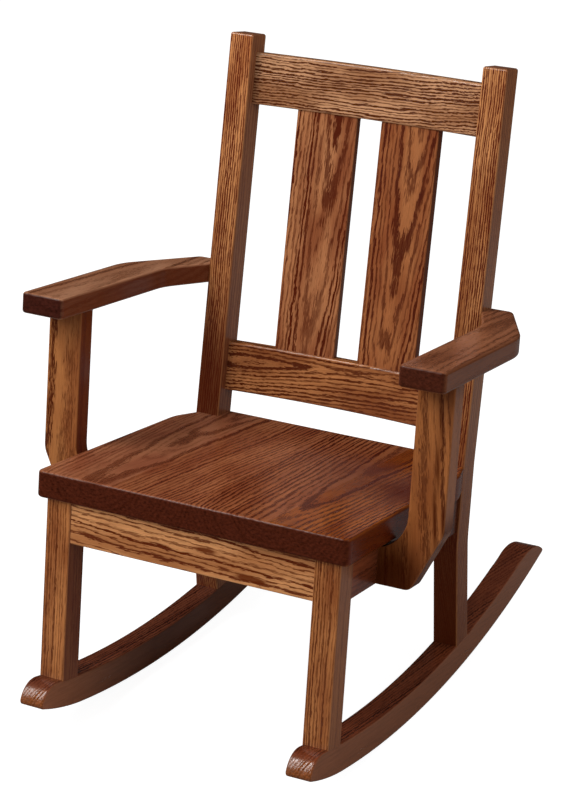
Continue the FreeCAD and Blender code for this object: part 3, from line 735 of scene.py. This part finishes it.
def stain(pale, brown, dark, **more):
    return {"Pale": pale, "Brown": brown, "Dark": dark, **more}


print("values in the plain look:", len(PLAIN))

# %% Dressing a board
# How strongly a board's side faces take their painted shading.
PLAIN_SIDE_SHADING = 0.7
PLAIN_END_SPAN = (0.35, 0.95)


def dress(node, material):
    mesh = frame["nodes"][node].data
    mesh.materials.clear()
    mesh.materials.append(material)
    print("dressed", node, "in", material.name)


def dress_board(node, origin, along, across, side_shading=PLAIN_SIDE_SHADING, end_span=PLAIN_END_SPAN,
                marks=(), bulges=(), **own):
    material = bpy.data.materials.new("oak_" + node)
    material.use_nodes = True
    tree = material.node_tree
    tree.nodes.clear()
    place = board_place(origin, along, across)
    board = board_vector(tree, place)
    group = add_node(tree, "ShaderNodeGroup", node_tree=oak)
    tree.links.new(board, group.inputs["Board"])
    look = {**PLAIN, **{name.replace("_", " "): value for name, value in own.items()}}
    for socket, value in look.items():
        group.inputs[socket].default_value = (*value, 1) if isinstance(value, tuple) else value
    if marks:
        plug(tree, patch_sum(tree, board, marks), group.inputs["Mark or shade"])
    if bulges:
        plug(tree, patch_sum(tree, board, bulges), group.inputs["Swell"])
    tell_faces(tree, group, place, side_shading, end_span)
    shade_board(tree, group)
    dress(node, material)


print("a plain board takes side stain", PLAIN_SIDE_SHADING, "and its ends begin at", PLAIN_END_SPAN[0])

# %% [markdown]
# ## The seat
# The seat is a plank glued up from boards that run from front to back. Its edges show flames and its
# middle straight grain. Each board could have a tree of its own, but neighbours in a glued seat are
# often cut from one plank, so the left two share a tree and the right two another. The colours go from
# pale and a little bluer on the left, a painted sheen, to deep on the right, a painted shade. Three
# marks hold soft painted shades: one at the left front corner, one at the right edge behind the arm
# post, and one before the right slat.

# %% Four seat boards
BACK = (0, 1, 0)
SEAT_TOP = (0, 150, 29)
LEFT_TREE = {"Seed": 11.0, "Pith_across": -115.0}
RIGHT_TREE = {"Seed": 12.0, "Pith_across": 95.0}
SEAT_TREES = (LEFT_TREE, LEFT_TREE, RIGHT_TREE, RIGHT_TREE)
SEAT_CONTRASTS = (0.7, 0.9, 1.25, 1.25)
# Painted light in the seat's colours: the paler, bluer left boards carry a painted sheen, the deeper
# right boards a painted shade.
SEAT_STAINS_WITH_PAINTED_LIGHT = (
    stain(pale=(0.44, 0.164, 0.075), brown=(0.31, 0.093, 0.042), dark=(0.13, 0.024, 0.006)),
    stain(pale=(0.40, 0.134, 0.052), brown=(0.265, 0.070, 0.026), dark=(0.11, 0.014, 0.003)),
    stain(pale=(0.37, 0.117, 0.042), brown=(0.235, 0.058, 0.019), dark=(0.09, 0.009, 0.001)),
    stain(pale=(0.35, 0.091, 0.012), brown=(0.205, 0.038, 0.004), dark=(0.07, 0.004, 0.0005)),
)
# Painted shades on the seat: at the left front corner, behind the right arm post and before the right
# slat.
SEAT_PAINTED_SHADES = (
    Patch(along=-150, across=-160, length=45, width=80, strength=0.4),
    Patch(along=25, across=165, length=50, width=80, strength=1.4),
    Patch(along=75, across=72, length=45, width=50, strength=0.8),
)

# The seat's dark side edges are painted shade.
for number, (seat_tree, contrast, colours) in enumerate(zip(SEAT_TREES, SEAT_CONTRASTS, SEAT_STAINS_WITH_PAINTED_LIGHT), 1):
    dress_board(f"seat_board_{number}", SEAT_TOP, along=BACK, across=RIGHT, side_shading=0.9,
                marks=SEAT_PAINTED_SHADES, Pith_deep=-30.0, Ring=4.8, Taper=-0.036, Wander=12.0,
                Ripple=3.0, Ragged=1.0, Contrast=contrast, Side_colour=(0.12, 0.0155, 0.003),
                Side_shine=0.75, **seat_tree, **colours)

# %% [markdown]
# ## Front legs
# The front legs are square sticks with straight grain, as a maker chooses them for strength. One look
# could serve both, but in the photograph the side of the left leg that faces the other one is darker
# than the right leg's outer side. Both have a shade at the top under the seat, stronger on the left.

# %% Two front legs
SIDES = (("left", -1), ("right", 1))
# Painted shade: the left leg's inner side is darker than the right leg's outer side, and both legs are
# shaded at the top under the seat.
LEG_SIDE_SHADES = {"left": (0.168, 0.041, 0.025), "right": (0.30, 0.11, 0.052)}
LEG_TOP_PAINTED_SHADES = {"left": 0.45, "right": 0.15}

for name, sign in SIDES:
    dress_board("front_leg_" + name, origin=(sign * 156.4, 0, -100), along=UP, across=RIGHT,
                Seed=20.0 + sign, Contrast=0.8, Pale=(0.57, 0.214, 0.065), Brown=(0.31, 0.090, 0.024),
                Side_colour=LEG_SIDE_SHADES[name],
                marks=(Patch(along=102, across=0, length=15, width=60, strength=LEG_TOP_PAINTED_SHADES[name]),))

# %% [markdown]
# ## Rear posts
# The rear posts are raked above the seat and kicked back below it. In steamed wood the grain would
# follow that bend, but these are sawn, so the grain runs straight through it, and one direction along
# the upper part is right for the whole post. In the photograph they grow lighter toward the top and
# lie in shade below the seat. That shade is a mark that hardly touches the side faces, which stay
# bright.

# %% Two rear posts
RAKE = math.radians(3.95)
POST_UP = (0, math.sin(RAKE), math.cos(RAKE))
# Painted light and shade on the posts: lighter toward the top above these heights, darker below them, and
# a painted shade below the seat that hardly touches the side faces. Their side colour is painted shading
# too.
POST_MIDDLES = {"left": 250, "right": 200}
POST_LIGHT_SLOPES = {"left": 0.0015, "right": 0.0008}
POST_PAINTED_SHADES = {
    "left": Patch(along=-195, across=0, length=80, width=80, strength=1.2),
    "right": Patch(along=-330, across=0, length=130, width=80, strength=1.8),
}
POST_STAIN = stain(pale=(0.62, 0.26, 0.09), brown=(0.37, 0.125, 0.036), dark=(0.115, 0.0155, 0.004),
                   Side_colour=(0.32, 0.12, 0.054), End_colour=(0.21, 0.085, 0.045))

for name, sign in SIDES:
    dress_board("rear_post_" + name, origin=(sign * 154.0, 315.0, POST_MIDDLES[name]), along=POST_UP,
                across=RIGHT, Seed=24.0 + sign, Contrast=1.1, Ragged=1.1, Ring=2.4, Spring_share=0.42,
                Tone_slope=POST_LIGHT_SLOPES[name], Side_mark=0.2, marks=(POST_PAINTED_SHADES[name],), **POST_STAIN)

# %% [markdown]
# ## Aprons
# The aprons are the boards under the seat. The front one is among the lightest boards of the chair,
# with broad grain and two short dark dashes. Noise can't place a dash, so they are marks a few mm wide.
# The side aprons lie in shade and grow darker toward the back, and the rear one can't be seen from the
# front, so these three share the deep stain of the rockers.

# %% Four aprons
APRON_STAIN = stain(pale=(0.76, 0.34, 0.13), brown=(0.46, 0.17, 0.055), dark=(0.13, 0.019, 0.002))
# The side colour here is painted light on the rockers' large sides; the aprons don't use it.
DEEP_STAIN = stain(pale=(0.25, 0.061, 0.023), brown=(0.16, 0.035, 0.013), dark=(0.04, 0.006, 0.002),
                   Side_colour=(0.33, 0.12, 0.055), End_colour=(0.25, 0.072, 0.019))
APRON_DASHES = (
    Patch(along=72, across=-14.5, length=14, width=2.4, strength=4.0),
    Patch(along=18, across=5.0, length=11, width=2.2, strength=2.6),
)

dress_board("front_apron", origin=(0, 1, -22.2), along=RIGHT, across=UP, side_shading=0.0, Seed=30.0,
            Ring=4.9, Pith_across=-90.0, Pith_deep=-40.0, Taper=0.035, Wander=16.0, Ripple=6.0,
            Contrast=1.15, Ragged=0.9, Spring_share=0.26, marks=APRON_DASHES, **APRON_STAIN)
dress_board("rear_apron", origin=(0, 325, -22.2), along=RIGHT, across=UP, side_shading=0.0, Seed=31.0,
            Ring=5.0, **DEEP_STAIN)
# The side aprons' darkening toward the back is painted shade.
for name, sign in SIDES:
    dress_board("side_apron_" + name, origin=(sign * 165.0, 72, -23), along=BACK, across=UP,
                side_shading=0.0, Seed=33.0 + sign, Ring=5.0, Contrast=0.4, Tone_slope=-0.009, **DEEP_STAIN)

# %% [markdown]
# ## Back rails
# The crest rail and the lower rail are bowed boards with long grain. The grain could follow the bow, as
# in steamed wood, but these are sawn from thick stock: the grain is straight and the saw runs out
# through the rings. The lower rail was cut near the pith, so its rings open into flames, and one bulge
# bends them at its left end.

# %% Crest rail and lower rail
CREST_STAIN = stain(pale=(0.72, 0.37, 0.185), brown=(0.42, 0.18, 0.075), dark=(0.11, 0.022, 0.003))
CREST_GRAIN = (1, 0, 0.03)
LOWER_RAIL_GRAIN = (1, 0, 0.06)
RAIL_BULGE = Patch(along=-150, across=15, length=80, width=30, strength=-13.0)

dress_board("crest_rail", origin=(0, 309, 380), along=CREST_GRAIN, across=POST_UP, side_shading=0.0,
            Seed=40.0, Ring=3.1, Wander=12.0, Ripple=4.5, Contrast=1.15, Ragged=1.0, **CREST_STAIN)
dress_board("lower_back_rail", origin=(0, 307, 85), along=LOWER_RAIL_GRAIN, across=POST_UP,
            side_shading=0.0, Seed=43.0, Ring=4.8, Pith_across=15.0, Pith_deep=-13.0, Taper=0.0,
            Wander=4.0, Ripple=4.0, Ragged=1.0, Contrast=1.3, Pale=(0.58, 0.228, 0.076),
            bulges=(RAIL_BULGE,))

# %% [markdown]
# ## Slats
# The two slats show the finest flames of the chair. Flames could be drawn by hand as curves, but rings
# that are cut near the pith open into flames by themselves. So the pith lies about 20 mm under the
# face, and the taper of the log stacks the flames above each other. The grain leans a little, as in
# the photograph, and the narrow sides of the slats are dark and dull.

# %% Two slats
SLAT_LEAN = 0.06
SLAT_GRAIN = (SLAT_LEAN, POST_UP[1], POST_UP[2])
SLAT_SIDE_SHADING = 0.95
# The slats' dark, dull narrow sides are painted shade.
SLAT_SHADED_SIDES = {"Side_colour": (0.135, 0.033, 0.011), "Side_shine": 0.3}
LEFT_SLAT = stain(pale=(0.55, 0.22, 0.086), brown=(0.29, 0.080, 0.027), dark=(0.105, 0.012, 0.001))
RIGHT_SLAT = stain(pale=(0.47, 0.168, 0.056), brown=(0.28, 0.072, 0.021), dark=(0.085, 0.008, 0.001))

dress_board("back_slat_left", origin=(-49.7, 316.5, 0), along=SLAT_GRAIN, across=RIGHT,
            side_shading=SLAT_SIDE_SHADING, Seed=50.0, Pith_across=-5.0, Pith_deep=-23.0, Taper=-0.03,
            Ring=3.6, Wander=5.0, Ripple=4.5, Spring_share=0.38, Contrast=1.08, Ragged=1.0,
            **SLAT_SHADED_SIDES, **LEFT_SLAT)
dress_board("back_slat_right", origin=(49.7, 316.5, 0), along=SLAT_GRAIN, across=RIGHT,
            side_shading=SLAT_SIDE_SHADING, Seed=51.0, Pith_across=-12.0, Pith_deep=-21.0, Taper=-0.05,
            Ring=4.2, Wander=4.0, Ripple=5.5, Spring_share=0.34, Contrast=0.93, Ragged=0.95,
            **SLAT_SHADED_SIDES, **RIGHT_SLAT)

# %% [markdown]
# ## Arms
# The arms are flat boards with wide rings, cut as a mirror pair, so their piths lie on opposite sides
# of the middle. One stain for both would be simpler, but in the photograph the left arm is paler and
# greyer than lamps alone can make it, and the right one deeper, so each has its own. Both have plain
# dark sides and nearly black ends.

# %% Two arms
ARM_SIDE_SHADING = 0.85
# The left arm's paler, greyer colours carry a painted sheen, and both arms' dark side colours are painted
# shade.
ARM_STAINS_WITH_PAINTED_LIGHT = {
    "left": stain(pale=(0.47, 0.217, 0.116), brown=(0.33, 0.130, 0.062), dark=(0.15, 0.040, 0.013),
                  Side_colour=(0.163, 0.027, 0.0055), End_colour=(0.055, 0.0125, 0.0075)),
    "right": stain(pale=(0.355, 0.130, 0.060), brown=(0.225, 0.072, 0.031), dark=(0.09, 0.020, 0.006),
                   Side_colour=(0.175, 0.04, 0.006), End_colour=(0.071, 0.0165, 0.008),
                   Side_shine=0.85),
}

for name, sign in SIDES:
    dress_board("arm_" + name, origin=(sign * 214, 160, 198), along=BACK, across=RIGHT,
                side_shading=ARM_SIDE_SHADING, Seed=61.0 + sign, Pith_across=-sign * 8.0, Pith_deep=-24.0,
                Taper=0.03, Ring=7.0, Contrast=0.9, Spring_share=0.36, **ARM_STAINS_WITH_PAINTED_LIGHT[name])

# %% [markdown]
# ## Arm posts
# The arm posts hold the arms, and their feet sweep in under the seat. They are bent in their lower half,
# but the grain of sawn wood stays straight. The right one stands near the camera, and its broad rings
# run out at the curve in long dark streaks. Noise alone doesn't put a streak where the photograph has
# one, so five narrow marks draw them, and two wide ones shade the foot and the top under the arm.

# %% Two arm posts
# The left arm post's dark side colour is painted shade.
LEFT_POST_STAIN = stain(pale=(0.48, 0.179, 0.053), brown=(0.35, 0.108, 0.029), dark=(0.10, 0.016, 0.002),
                        Side_colour=(0.16, 0.027, 0.010))
RIGHT_POST_STAIN = stain(pale=(0.41, 0.140, 0.039), brown=(0.30, 0.087, 0.022), dark=(0.07, 0.009, 0.001))
RIGHT_POST_GRAIN = (-0.1, 0, 1)
# The first patch on each post is a painted shade under the arm, and the second on the right post a
# painted shade on the foot under the seat; the five narrow ones are real dark streaks.
LEFT_POST_PAINTED_SHADES = (Patch(along=72, across=0, length=14, width=90, strength=0.7),)
RIGHT_POST_STREAKS_AND_SHADES = (
    Patch(along=72, across=0, length=18, width=90, strength=0.75),
    Patch(along=-132, across=-45, length=40, width=36, strength=1.7),
    Patch(along=-69, across=4.5, length=32, width=2.4, strength=1.5),
    Patch(along=-72, across=13.5, length=20, width=2.2, strength=1.5),
    Patch(along=-12, across=9, length=26, width=2.2, strength=1.3),
    Patch(along=34, across=13, length=30, width=2.0, strength=1.1),
    Patch(along=40, across=-19, length=34, width=1.8, strength=0.7),
)

dress_board("arm_post_left", origin=(-214, 92.5, 100), along=UP, across=RIGHT,
            side_shading=ARM_SIDE_SHADING, Seed=66.0, Pith_across=6.0, Pith_deep=-24.0, Taper=0.012,
            Ring=9.0, Spring_share=0.22, Contrast=1.05, marks=LEFT_POST_PAINTED_SHADES, **LEFT_POST_STAIN)
dress_board("arm_post_right", origin=(214, 92.5, 100), along=RIGHT_POST_GRAIN, across=RIGHT,
            Seed=65.0, Pith_across=-17.0, Pith_deep=-16.0, Taper=0.01, Ring=7.5,
            Ripple=5.0, Spring_share=0.24, Contrast=0.8, marks=RIGHT_POST_STREAKS_AND_SHADES, **RIGHT_POST_STAIN)

# %% [markdown]
# ## Rockers
# The rockers are long boards on edge with the deepest stain. Their sides are the large faces and take a
# plainer, lighter colour of their own, which is painted light, and the rolled noses show end grain that
# kept its gloss. The left rocker grows darker toward the back, where the chair shades it: a painted
# shade in the colour, as with the aprons, and not a lamp.

# %% Two rockers
ROCKER_STAINS = {
    "left": {**DEEP_STAIN, "Pale": (0.217, 0.059, 0.026), "Brown": (0.139, 0.034, 0.015)},
    "right": DEEP_STAIN,
}
ROCKER_CONTRASTS = {"left": 0.9, "right": 0.7}
# The left rocker's darkening toward the back is painted shade, stronger on its sides.
ROCKER_SHADE_SLOPES = {"left": -0.0009, "right": 0.0}
NOSE_SPAN = (0.45, 0.72)

for name, sign in SIDES:
    dress_board("rocker_" + name, origin=(sign * 156, 60, -200), along=BACK, across=RIGHT,
                side_shading=0.8, end_span=NOSE_SPAN, End_shine=1.8, Seed=72.0, Pith_across=95.0,
                Pith_deep=60.0, Contrast=ROCKER_CONTRASTS[name], Tone_slope=ROCKER_SHADE_SLOPES[name],
                Side_slope=4.6, **ROCKER_STAINS[name])

# %% [markdown]
# ## Hidden blocks and dowels
# Corner blocks stiffen the frame under the seat, and dowels join rockers, posts and arms. A maker doesn't
# stain what nobody sees, so they stay raw wood. They use the same oak with raw colours, because a second
# kind of wood would be more to keep and no better to look at.

# %% Corner blocks and dowels
RAW_OAK = stain(pale=(0.62, 0.45, 0.28), brown=(0.52, 0.36, 0.21), dark=(0.30, 0.19, 0.10),
                End_colour=(0.45, 0.31, 0.19))
UNDER_SEAT = (0, 150, -20)
HIDDEN_PIECES = ("corner_block_front_left", "corner_block_front_right", "corner_block_rear_left",
                 "corner_block_rear_right", "rocker_dowels", "arm_post_dowels", "arm_rear_dowels")

for number, name in enumerate(HIDDEN_PIECES):
    dress_board(name, UNDER_SEAT, along=RIGHT, across=BACK, side_shading=0.0, Seed=80.0 + number,
                Contrast=0.6, **RAW_OAK)

# %% [markdown]
# ## Zinc on the screws
# The screws are steel with a thin coat of zinc, which shows as small cloudy spangles. A plain metal
# colour could pass, as the screws are hidden, but a fine noise in colour and roughness costs nothing and
# keeps them right if someone takes the chair apart.

# %% Zinc
SPANGLES_PER_METRE = 900.0
ZINC_BLUE = (0.52, 0.53, 0.55, 1)
ZINC_PALE = (0.68, 0.68, 0.66, 1)
SPANGLE_SPAN = (0.3, 0.7)
ZINC_ROUGHNESS = (0.25, 0.42)

zinc = bpy.data.materials.new("zinc_screws")
zinc.use_nodes = True
tree = zinc.node_tree
shader = tree.nodes["Principled BSDF"]
shader.inputs["Metallic"].default_value = 1.0
where = add_node(tree, "ShaderNodeTexCoord")
spangles = add_node(tree, "ShaderNodeTexNoise")
spangles.inputs["Scale"].default_value = SPANGLES_PER_METRE
tree.links.new(where.outputs["Object"], spangles.inputs["Vector"])
colour = add_node(tree, "ShaderNodeMix", data_type="RGBA")
tree.links.new(spangles.outputs[0], colour.inputs[MIX_SHARE])
colour.inputs[MIX_FIRST].default_value = ZINC_BLUE
colour.inputs[MIX_SECOND].default_value = ZINC_PALE
tree.links.new(colour.outputs[MIX_RESULT], shader.inputs["Base Color"])
roughness = smooth(tree, spangles.outputs[0], *SPANGLE_SPAN, *ZINC_ROUGHNESS)
tree.links.new(roughness, shader.inputs["Roughness"])
for name in ("arm_post_screws", "corner_block_screws", "seat_screws"):
    dress(name, zinc)
